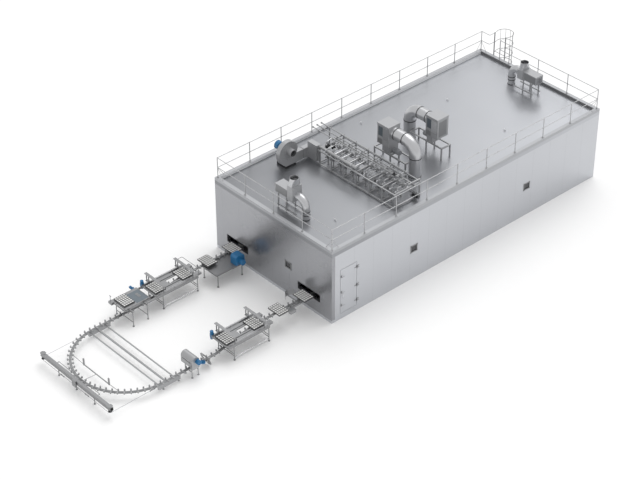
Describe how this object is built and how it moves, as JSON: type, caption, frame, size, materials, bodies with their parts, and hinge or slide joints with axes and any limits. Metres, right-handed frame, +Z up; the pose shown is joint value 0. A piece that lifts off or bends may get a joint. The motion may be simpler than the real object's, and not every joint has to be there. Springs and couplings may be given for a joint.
{
  "type": "continuous oven",
  "caption": "Long panelled baking oven with a railed roof of fans, ducts and burner pipes, and a pan conveyor loop that leaves and re-enters its front wall.",
  "frame": {"origin": "centre of the underside of the house floor, on the ground", "axes": "+X right and +Y into the depth as seen from the conveyor side, +Z up"},
  "size_m": [8.289, 30.9088, 6.11],
  "materials": {
    "panel": "satin",
    "front_panel": "satin",
    "deck": "satin",
    "dark_glass": "gloss",
    "bright_steel": "satin",
    "rail_steel": "satin",
    "duct_steel": "satin",
    "dark_steel": "satin",
    "blue_motor": "satin",
    "grey_motor": "satin",
    "chain_steel": "satin",
    "pan_steel": "satin",
    "wire_rope": "satin"
  },
  "bodies": {
    "plant": {"oven_floor": "panel", "front_wall_sill": "front_panel", "front_wall_piers": "front_panel", "front_wall": "front_panel", "rear_wall": "panel", "left_wall": "panel", "right_wall": "panel", "doorway_lintel_and_sill": "panel", "roof_deck": "deck", "roof_curb_sides": "panel", "roof_curb_ends": "panel", "hatch_panes": "dark_glass", "door_hinges": "bright_steel", "railing_sides": "rail_steel", "railing_ends": "rail_steel", "roof_ladder": "rail_steel", "cage_hoops": "rail_steel", "cage_bars": "rail_steel", "roof_lugs": "bright_steel", "blower_volute": "duct_steel", "blower_stand": "dark_steel", "blower_motor": "blue_motor", "air_duct": "duct_steel", "rack_posts": "bright_steel", "rack_ties": "bright_steel", "rack_beams": "bright_steel", "air_headers": "bright_steel", "gas_branches": "bright_steel", "gas_valves": "dark_steel", "exhaust_ducts": "duct_steel", "exhaust_housings": "duct_steel", "exhaust_stands": "bright_steel", "exhaust_motors": "grey_motor", "duct_rings": "dark_steel", "vent_ducts": "duct_steel", "vent_fans": "duct_steel", "vent_stacks": "duct_steel", "vent_rails": "bright_steel", "track_branches": "bright_steel", "track_curve": "bright_steel", "carrier_chain": "chain_steel", "bun_pans": "pan_steel", "transfer_table": "bright_steel", "pan_loader": "bright_steel", "pan_unloader": "bright_steel", "portals": "bright_steel", "drive_table": "bright_steel", "drive_unit": "blue_motor", "gear_motors": "blue_motor", "pan_cleaner": "bright_steel", "guide_disc": "dark_steel", "slot_guide": "bright_steel", "turn_carriage": "bright_steel", "inner_bar": "bright_steel", "take_up_beam": "bright_steel", "take_up_sheaves": "dark_steel", "take_up_ropes": "wire_rope"},
    "door": {"service_door": "panel", "door_straps": "bright_steel", "door_latches": "bright_steel"}
  },
  "joints": [
    {"name": "service_door_hinge", "type": "hinge", "parent": "plant", "child": "door", "pos_m": [4.134, -7.545, 0], "axis": [0, 0, 1], "range_deg": [0, 110]}
  ]
}
